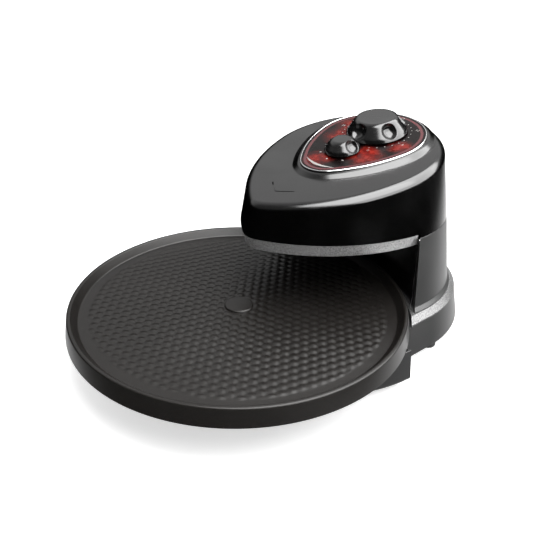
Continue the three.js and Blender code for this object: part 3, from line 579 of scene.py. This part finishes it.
timerV, selectorV = 191, 139
headCover = headForm("headCover", 0, 0, head["seam"], 10)
combine(headCover, "UNION", plinthForm("plinth", 0))
hollow = headForm("hollow", head["wall"], head["wall"], head["seam"] - 5, 3)
combine(headCover, "DIFFERENCE", hollow, drum(columnFront, head["seam"] - 5, head["edge"]))
for v in (timerV, selectorV):
    combine(headCover, "DIFFERENCE", panelDrum("hole", v, 3.8, -20, 10))
combine(headCover, "DIFFERENCE", chevron())
smooth(headCover, 26)
done(headCover, "glossBlack", "frame", "gloss_black", "head_shell")


def bandRings(sections):
    return [ringAt(inset(headOutline, amount), z) for amount, z in sections]


bandTop, bandLow = head["edge"] - 0.3, head["edge"] - 13
band = [(1.4, bandTop), (3.85, bandLow + 0.9), (4.05, bandLow + 0.3), (4.5, bandLow)]
band += [(5.6, bandLow), (6.2, bandLow + 0.4), (3.4, bandTop), (1.4, bandTop)]
headBand = loft("headBand", bandRings(band), close=False)
weld(headBand, 1e-6)
combine(headBand, "INTERSECT", drum(wall["radius"] - 0.3, bandLow - 5, bandTop + 5))
smooth(headBand, 40)
done(headBand, "silverTrim", "frame", "silver_trim", "head_trim")

# the label
def labelRing(grow, w):
    return [onPanel(x, v, w) for x, v, nx, ny in plateOutline(grow)]


labelPlate = loft("labelPlate", [labelRing(-0.3, 0.3), labelRing(-0.3, 1.35), labelRing(-0.45, 1.5)])
for v in (timerV, selectorV):
    combine(labelPlate, "DIFFERENCE", panelDrum("hole", v, 3.8, -2, 5))
smooth(labelPlate, 30)
done(labelPlate, "panelPrint", "frame", "panel_print", "control_plate")


def closedStrip(name, sections):
    rows = [labelRing(grow, w) for grow, w in [*sections, sections[0]]]
    strip = loft(name, rows, close=False)
    return smooth(weld(strip, 1e-7), 50)


rimRound = [(0, 0.3), (0, 1.5), (0.25, 1.85), (0.7, 2), (1.2, 1.9), (1.6, 1.55), (1.8, 1.1), (1.8, 0.3)]
done(closedStrip("labelRim", rimRound), "labelSilver", "frame", "silver_trim", "plate_bezel")
border = [(-5.2, 1.5), (-5.2, 1.54), (-2.2, 1.54), (-2.2, 1.5)]
done(closedStrip("labelBorder", border), "labelBorder", "frame", "panel_print")

dial = {"numberRadius": 42.5, "numberSize": 4.6, "dotRadius": 36.6, "dotSize": 0.65, "ink": 0.05}


def inkMarks():
    bm = bmesh.new()
    face = 1.5
    for i in range(7):
        turn = math.radians(150 - i * 50)
        curve = bpy.data.curves.new("number", "FONT")
        curve.body = str(i * 5)
        curve.size = dial["numberSize"]
        curve.align_x = "CENTER"
        curve.align_y = "CENTER"
        curve.extrude = dial["ink"] / 2
        sample = bpy.data.objects.new("number", curve)
        mesh = bpy.data.meshes.new_from_object(sample)
        u = dial["numberRadius"] * math.sin(turn)
        v = timerV + dial["numberRadius"] * math.cos(turn)
        if abs(u) < 52:
            for vertex in mesh.vertices:
                vertex.co = onPanel(vertex.co.x + u, vertex.co.y + v, vertex.co.z + face + dial["ink"] / 2)
            bm.from_mesh(mesh)
        bpy.data.objects.remove(sample)
    dots = [(timerV, dial["dotRadius"], math.radians(150 - i * 12.5), dial["dotSize"]) for i in range(25)]
    dots += [(selectorV, 22.5, math.radians(180 + side), 1.1) for side in (-45, 0, 45)]
    for centre, radius, turn, size in dots:
        low, high = [], []
        for k in range(12):
            around = 2 * math.pi * k / 12
            u = radius * math.sin(turn) + size * math.cos(around)
            v = centre + radius * math.cos(turn) + size * math.sin(around)
            low.append(bm.verts.new(onPanel(u, v, face)))
            high.append(bm.verts.new(onPanel(u, v, face + dial["ink"])))
        bm.faces.new(high)
        bm.faces.new(low[::-1])
        for k in range(12):
            after = (k + 1) % 12
            bm.faces.new((low[k], low[after], high[after], high[k]))
    # a plain tapered stroke near the tip
    upper, lower = [], []
    for i in range(25):
        t = i / 24
        u = -20 + 40 * t
        v = 107 - 5 * math.sin(math.pi * t)
        half = 1.5 * math.sin(math.pi * t) + 0.05
        upper.append((u, v + half))
        lower.append((u, v - half))
    line = lower + upper[::-1]
    rows = [[bm.verts.new(onPanel(u, v, w)) for u, v in line] for w in (face, face + dial["ink"])]
    bm.faces.new(rows[1])
    bm.faces.new(rows[0][::-1])
    for k in range(len(line)):
        after = (k + 1) % len(line)
        bm.faces.new((rows[0][k], rows[0][after], rows[1][after], rows[1][k]))
    return meshPiece("dialMarks", bm)


done(inkMarks(), "paleInk", "frame", "panel_print")

# the knobs
timerKnob = {
    "v": timerV, "radius": 33, "shoulder": 31.4, "top": 22.5, "height": 17.57,
    "scoops": 5, "first": -90, "scoop": 10.6, "scoopOut": 5.5,
}
selectorKnob = {
    "v": selectorV, "radius": 19, "shoulder": 17.8, "top": 12, "height": 12.6,
    "scoops": 2, "first": 0, "scoop": 9.5, "scoopOut": 4.6,
}


def roundedLine(corners, steps=5):
    # corners are (r, z, fillet); gives points along the rounded line, about 0.45 apart
    points = []
    for i in range(1, len(corners) - 1):
        corner = Vector(corners[i][:2])
        before = (Vector(corners[i - 1][:2]) - corner).normalized()
        after = (Vector(corners[i + 1][:2]) - corner).normalized()
        cut = corners[i][2]
        start, end = corner + before * cut, corner + after * cut
        for k in range(steps + 1):
            t = k / steps
            points.append(start * (1 - t) ** 2 + corner * 2 * t * (1 - t) + end * t * t)
    line = [Vector(corners[0][:2]), *points, Vector(corners[-1][:2])]
    filled = []
    for a, b in zip(line, line[1:]):
        count = max(1, round((b - a).length / 0.45))
        filled += [a + (b - a) * k / count for k in range(count)]
    filled.append(line[-1])
    return filled


def knobPiece(name, size, segments=240):
    radius, height = size["radius"], size["height"]
    corners = [(radius - 1.6, 0, 0), (radius, 0.9, 0.7), (size["shoulder"], 4.6, 1.2)]
    corners += [(size["top"], height - 1, 2.2), (size["top"] - 3, height, 0.8), (1.5, height, 0)]
    line = roundedLine(corners)
    middle = Vector(((size["shoulder"] + size["top"]) / 2, (4.6 + height - 1.6) / 2))
    lean = math.atan2(size["shoulder"] - size["top"], height - 6.2)
    centres = []
    for i in range(size["scoops"]):
        heading = math.radians(size["first"]) + 2 * math.pi * i / size["scoops"]
        r = middle.x + size["scoopOut"] * math.cos(lean)
        w = middle.y + size["scoopOut"] * math.sin(lean)
        centres.append(Vector((r * math.cos(heading), r * math.sin(heading), w)))
    bm = bmesh.new()
    rows = []
    last = len(line) - 1
    for j, point in enumerate(line):
        along = line[min(j + 1, last)] - line[max(j - 1, 0)]
        normal = Vector((along.y, -along.x)).normalized()
        row = []
        for k in range(segments):
            turn = 2 * math.pi * k / segments
            spot = Vector((point.x * math.cos(turn), point.x * math.sin(turn), point.y))
            outward = Vector((normal.x * math.cos(turn), normal.x * math.sin(turn), normal.y))
            inward = 0
            for centre in centres:
                gap = spot - centre
                reach = size["scoop"] ** 2 - gap.length_squared
                if reach > 0:
                    b = gap.dot(outward)
                    inward = max(inward, b + math.sqrt(b * b + reach))
            spot -= outward * inward
            spot.z = max(spot.z, 0)
            row.append(bm.verts.new(onPanel(spot.x, size["v"] + spot.y, spot.z + 2.2)))
        rows.append(row)
    for lower, upper in zip(rows, rows[1:]):
        for k in range(segments):
            after = (k + 1) % segments
            bm.faces.new((lower[k], lower[after], upper[after], upper[k]))
    bm.faces.new(rows[-1])
    # the underside runs in to a bore for the shaft
    bore = []
    for w, r in [(0, 3.3), (height - 4, 3.3), (height - 4, 0.5)]:
        bore.append([bm.verts.new(onPanel(x, size["v"] + y, w + 2.2)) for x, y in circle(r, segments)])
    for lower, upper in zip([rows[0], *bore], bore):
        for k in range(segments):
            after = (k + 1) % segments
            bm.faces.new((lower[after], lower[k], upper[k], upper[after]))
    bm.faces.new(bore[-1][::-1])
    return smooth(meshPiece(name, bm), 40)


done(knobPiece("timerKnob", timerKnob), "knobGrey", "timer", "knob_plastic", "timer_knob")
done(knobPiece("selectorKnob", selectorKnob), "knobGrey", "selector", "knob_plastic", "selector_knob")
print("head done")

# column, wall and base
column = {
    "rearY": 155, "top": 128.5, "bottom": 50.8, "footZ": 56, "foot": 112.6, "flange": 115.6, "seam": 102.8,
}


def columnRing(radius, z, segments=192):
    return [place(x, column["rearY"] + y, z) for x, y in circle(radius, segments)]


def columnPlug(name, low, high):
    # an upright plug between two (radius, height) rings about the column's axis
    return loft(name, [columnRing(*low), columnRing(*high)])


outer = [(column["flange"] - 0.5, column["bottom"]), (column["flange"], column["bottom"] + 0.6)]
outer += [(column["foot"] + 0.5, column["footZ"] - 0.6), (column["foot"] - 0.1, column["footZ"] + 0.4)]
outer += [(column["seam"] + 0.1, column["top"] - 0.6), (column["seam"] - 0.4, column["top"])]
columnCover = loft("columnCover", [columnRing(r, z) for r, z in outer])
cavityLow, cavityHigh = (column["foot"] - 3, column["bottom"] - 5), (column["seam"] - 4, column["top"] + 5)
cavity = columnPlug("cavity", cavityLow, cavityHigh)
combine(cavity, "DIFFERENCE", drum(columnFront + 3, column["bottom"] - 10, column["top"] + 10))
combine(columnCover, "DIFFERENCE", drum(columnFront, column["bottom"] - 5, column["top"] + 5), cavity)
smooth(columnCover, 30)
done(columnCover, "satinBlack", "frame", "satin_black", "column_shell")


def gapSheetPiece():
    bm = bmesh.new()
    half = math.asin(wall["half"] / wall["radius"])
    low, high = column["bottom"], head["seam"] - 1
    section = [(0, low), (0, high), (wall["sheet"], high), (wall["sheet"], low)]
    rows = []
    for i in range(121):
        turn = math.pi / 2 - half + 2 * half * i / 120
        row = []
        for thick, z in section:
            r = wall["radius"] + thick
            row.append(bm.verts.new(place(r * math.cos(turn), r * math.sin(turn), z)))
        rows.append(row)
    for first, second in zip(rows, rows[1:]):
        for k in range(4):
            after = (k + 1) % 4
            bm.faces.new((first[k], first[after], second[after], second[k]))
    bm.faces.new(rows[0])
    bm.faces.new(rows[-1][::-1])
    return meshPiece("gapSheet", bm)


done(smooth(gapSheetPiece(), 40, round=0.4), "brightSheet", "frame", "bright_sheet", "gap_wall")

base = {
    "half": 128, "inset": 6, "bottom": 11, "top": 42.6, "front": 98, "shoulder": 44.4, "trimTop": 50.5,
    "wall": 3,
}


def baseOutline(inward, frontInward=0, steps=120):
    radius = base["half"] - inward
    line = []
    for i in range(steps + 1):
        turn = math.pi * i / steps
        line.append((radius * math.cos(turn), column["rearY"] + radius * math.sin(turn), 0, 0))
    front = base["front"] + frontInward
    return [(radius, front, 0, 0), *line, (-radius, front, 0, 0)]


baseRings = [(0.6, base["bottom"]), (0.05, base["bottom"] + 0.6), (base["inset"], base["top"])]
baseCover = loft("baseCover", [ringAt(baseOutline(amount), z) for amount, z in baseRings])
innerRings = [(base["wall"], base["bottom"] - 1), (base["wall"] + base["inset"], base["top"] - base["wall"])]
innerRoom = [ringAt(baseOutline(amount, base["wall"]), z) for amount, z in innerRings]
combine(baseCover, "DIFFERENCE", loft("room", innerRoom))
wellRadius = column["seam"] - 10
well = columnPlug("well", (wellRadius, base["bottom"]), (wellRadius, base["top"] + 5))
combine(well, "DIFFERENCE", drum(wall["radius"] + 12, base["bottom"] - 5, base["top"] + 10))
combine(baseCover, "DIFFERENCE", well)


def rearHole(x, y0, y1, radius, z):
    ring = circle(radius, 40)
    return loft("hole", [[place(x + across, y, z + up) for across, up in ring] for y in (y0, y1)])


for side in (-18, 18):
    combine(baseCover, "DIFFERENCE", rearHole(side, base["front"] - 5, base["front"] + 8, 4.65, 35.6))
combine(baseCover, "DIFFERENCE", rearHole(0, 271, 295, 8, 25))
smooth(baseCover, 30)
done(baseCover, "satinBlack", "frame", "satin_black", "base_shell")

shoulderInset = base["half"] - column["flange"] - 0.3
ledgeRings = [(base["inset"], base["top"] + 0.3), (base["inset"], base["shoulder"] - 0.2)]
ledgeRings.append((base["inset"] + 0.3, base["shoulder"] + 0.2))
ledgeRings += [(shoulderInset - 0.3, base["trimTop"] - 0.15), (shoulderInset, base["trimTop"])]
ledgeBand = loft("ledgeBand", [ringAt(baseOutline(amount), z) for amount, z in ledgeRings])
openingRadius = column["seam"] - 7
opening = columnPlug("opening", (openingRadius, base["top"] - 5), (openingRadius, base["trimTop"] + 5))
combine(opening, "DIFFERENCE", drum(columnFront + 6, base["top"] - 6, base["trimTop"] + 6))
combine(ledgeBand, "DIFFERENCE", drum(pan["skirt"] + 4, base["top"] - 5, base["trimTop"] + 5), opening)
smooth(ledgeBand, 30)
done(ledgeBand, "ledgeSilver", "frame", "silver_trim", "base_trim")

# tray, heaters and feet
tray = {
    "cornerX": 150, "cornerY": 91, "nose": 52, "side": 160, "bottom": 10.5, "top": 44,
    "sheet": 1.8, "flare": 1.6,
}


def trayOutline(inward, steps=(16, 60)):
    nose, sideRadius = tray["nose"], tray["side"]
    reach = math.hypot(tray["cornerX"], tray["cornerY"])
    along = ((sideRadius - nose) ** 2 - sideRadius ** 2 + reach ** 2) / (2 * reach)
    across = math.sqrt((sideRadius - nose) ** 2 - along ** 2)
    ux, uy = tray["cornerX"] / reach, tray["cornerY"] / reach
    cx, cy = along * ux - across * uy, along * uy + across * ux
    first = math.atan2(-cy, -cx)
    rearY = tray["cornerY"] + tray["sheet"] + 2 - inward
    last = math.asin((rearY - cy) / (sideRadius - inward))
    half = []
    for i in range(steps[0]):
        turn = -math.pi / 2 + (first + math.pi / 2) * i / steps[0]
        half.append(((nose - inward) * math.cos(turn), (nose - inward) * math.sin(turn), 0, 0))
    for i in range(steps[1] + 1):
        turn = first + (last - first) * i / steps[1]
        radius = sideRadius - inward
        half.append((cx + radius * math.cos(turn), cy + radius * math.sin(turn), 0, 0))
    return half + [(-x, y, 0, 0) for x, y, a, b in half[:0:-1]]


trayZ = tray["bottom"]
traySides = [(1, trayZ), (0.3, trayZ + 0.3), (0, trayZ + 1), (0, trayZ + 3)]
traySides += [(tray["flare"], tray["top"] - 0.3), (tray["flare"] + 0.3, tray["top"])]
lowerTray = loft("lowerTray", [ringAt(trayOutline(amount), z) for amount, z in traySides])
trayFloor = trayZ + tray["sheet"]
trayRoom = [(tray["sheet"] + 0.8, trayFloor), (tray["sheet"], trayFloor + 0.8)]
trayRoom.append((tray["sheet"] + tray["flare"], tray["top"] + 1))
combine(lowerTray, "DIFFERENCE", loft("room", [ringAt(trayOutline(amount), z) for amount, z in trayRoom]))
for side in (-18, 18):
    combine(lowerTray, "DIFFERENCE", rearHole(side, tray["cornerY"] - 15, tray["cornerY"] + 10, 4.65, 35.6))
smooth(lowerTray, 30)
done(lowerTray, "blackSteel", "frame", "black_steel", "lower_tray")

heaterRadius = 3.2
upperZ, lowerZ, edgeZ = 124.3, 35.6, head["edge"]
upperHalf = [(18, 158, edgeZ + 12), (18, 158, edgeZ + 3), (18, 157, edgeZ - 4), (22, 150, upperZ)]
upperHalf += [(38, 146, upperZ), (66, 140, upperZ), (72, 110, upperZ), (54, 76, upperZ), (26, 48, upperZ)]
lowerHalf = [(18, 109, lowerZ), (18, 86, lowerZ), (28, 70, lowerZ), (70, 72, lowerZ), (112, 68, lowerZ)]
lowerHalf += [(112, 36, lowerZ), (84, 4, lowerZ), (44, -24, lowerZ)]
for name, half, middle, node in [("upperHeater", upperHalf, (0, 38, upperZ), "upper_element"),
                                 ("lowerHeater", lowerHalf, (0, -33, lowerZ), "lower_element")]:
    points = half + [middle] + [(-x, y, z) for x, y, z in half[::-1]]
    path = curveThrough([place(*point) for point in points])
    done(smooth(tube(name, path, heaterRadius), 50), "heaterSheath", "frame", "element_sheath", node)

for side, word in [(1, "Right"), (-1, "Left")]:
    for depth, x, y, top in [("Rear", 114, 168, 11), ("Front", 62, -8, 10.2)]:
        profile = [(0, 0.6), (5, 0.6), (5.6, 0), (7.6, 0), (8.6, 0.5), (9, 1.4), (8.6, 4)]
        profile += [(8.75, 4.6), (8.3, 6.4), (8.4, 7), (8, top - 0.3), (7.6, top), (2.2, top)]
        profile += [(2.2, top + 4.7), (1.9, top + 5), (0, top + 5)]
        footPiece = smooth(lathe("foot" + depth + word, profile, 72, (side * x, y)), 50)
        node = "foot_" + depth.lower() + "_" + word.lower()
        done(footPiece, "rubber", "frame", "rubber", node)
print("body done")

# finishes for the nodes kept from the CAD
slotFinish = {
    "gloss_black": "glossBlack", "satin_black": "satinBlack", "nonstick": "nonStick",
    "black_steel": "blackSteel", "silver_trim": "silverTrim", "steel": "steel",
    "bright_sheet": "brightSheet", "element_sheath": "heaterSheath", "knob_plastic": "knobGrey",
    "panel_print": "panelPrint", "white_plastic": "whitePlastic", "rubber": "rubber", "brass": "brass",
}
nodeSlots = {part["node"]: part["material_slot"] for part in frame["record"]["subparts"]}
for name, node in frame["nodes"].items():
    material = finishes[slotFinish[nodeSlots[name]]].material
    if not node.data.materials:
        node.data.materials.append(material)
    for index in range(len(node.data.materials)):
        node.data.materials[index] = material

# room, light and camera
room = {
    "floorSize": 16, "floorWhite": 0.86, "paperGlow": 0.6, "sky": 1.2, "frontSky": 0.3,
    "rightCard": 1.7, "leftCard": 1.6, "lowCard": 1.8,
}
floorMesh = bmesh.new()
bmesh.ops.create_grid(floorMesh, x_segments=2, y_segments=2, size=room["floorSize"] / 2)
floor = meshPiece("floor", floorMesh)
glowing = {"Emission_Strength": room["paperGlow"], "Emission_Color": (1, 1, 1, 1)}
floorFinish = Finish("paperFloor", Roughness=0.9, **glowing)
paper = floorFinish.noise(6, 3)
white = room["floorWhite"]
floorFinish.feed(Base_Color=floorFinish.blendColours(paper, tone(white), tone(white + 0.03)))
floor.data.materials.append(floorFinish.material)
floor.visible_glossy = False

# a pale sweep all round, seen only by the camera
sweepRadius = room["floorSize"] * 480
sweepProfile = [(sweepRadius, -20), (sweepRadius, 9000), (room["floorSize"] * 250, 12000), (0, 12500)]
sweep = lathe("sweep", sweepProfile, 64)
sweep.data.materials.append(floorFinish.material)
sweep.visible_glossy = False
sweep.visible_diffuse = False
sweep.visible_shadow = False

world = bpy.data.worlds.new("studio")
bpy.context.scene.world = world
world.use_nodes = True
sky = world.node_tree
coords = sky.nodes.new("ShaderNodeTexCoord")
split = sky.nodes.new("ShaderNodeSeparateXYZ")
sky.links.new(coords.outputs["Generated"], split.inputs[0])
height = Wire(sky, split.outputs["Z"])
# below the horizon the gloss shows a card on the right, one on the left and one low down
behind = Wire(sky, split.outputs["X"]) * -0.76 + Wire(sky, split.outputs["Y"]) * 0.648
toRight = Wire(sky, split.outputs["X"]) * 0.648 + Wire(sky, split.outputs["Y"]) * 0.76
aboveHorizon = height.fade(0.3, 0.55)
rightCard = (1 - height.fade(-0.36, -0.24)) * toRight.fade(0.04, 0.3) * room["rightCard"]
leftCard = (1 - height.fade(-0.54, -0.44)) * (1 - toRight.fade(0.04, 0.3)) * room["leftCard"]
skyLevel = room["frontSky"] + behind.fade(-0.3, 0.45) * (room["sky"] - room["frontSky"])
lowCard = (1 - height.fade(-0.64, -0.52)) * toRight.fade(0.35, 0.6) * room["lowCard"]
brightness = aboveHorizon * skyLevel + (rightCard + leftCard) * behind.fade(-0.1, 0.6) + lowCard
sky.nodes["Background"].inputs["Color"].default_value = (1, 1, 1, 1)
plug(sky, sky.nodes["Background"].inputs["Strength"], brightness)


def softLight(name, spot, target, width, depth, power, glossOnly=False):
    data = bpy.data.lights.new(name, "AREA")
    data.shape = "RECTANGLE"
    data.size = width
    data.size_y = depth
    data.energy = power
    lamp = bpy.data.objects.new(name, data)
    bpy.context.scene.collection.objects.link(lamp)
    lamp.location = spot
    lamp.visible_diffuse = not glossOnly
    lamp.rotation_euler = (Vector(target) - Vector(spot)).to_track_quat("-Z", "Y").to_euler()


softLight("overhead", (0.62, 0.05, 1.35), (0, 0, 0.12), 1.3, 1.5, 34)
softLight("edgeCard", (0.8, 0.4, 1.25), (0, 0, 0.15), 2.8, 2.7, 220, glossOnly=True)

camera = bpy.data.cameras.new("camera")
camera.lens = 47.28
camera.sensor_width = 36
camera.clip_start = 0.01
viewer = bpy.data.objects.new("camera", camera)
bpy.context.scene.collection.objects.link(viewer)
right = Vector((0.64300, 0.76576, 0.01280))
up = Vector((-0.37433, 0.29966, 0.87754))
ahead = Vector((-0.66815, 0.56906, -0.47933))
turn = Matrix((right, up, -ahead)).transposed().to_4x4()
viewer.matrix_world = Matrix.Translation((0.4769, -0.4259, 0.4336)) @ turn
bpy.context.scene.camera = viewer
bpy.context.scene.view_settings.view_transform = "Standard"

print("scene done")
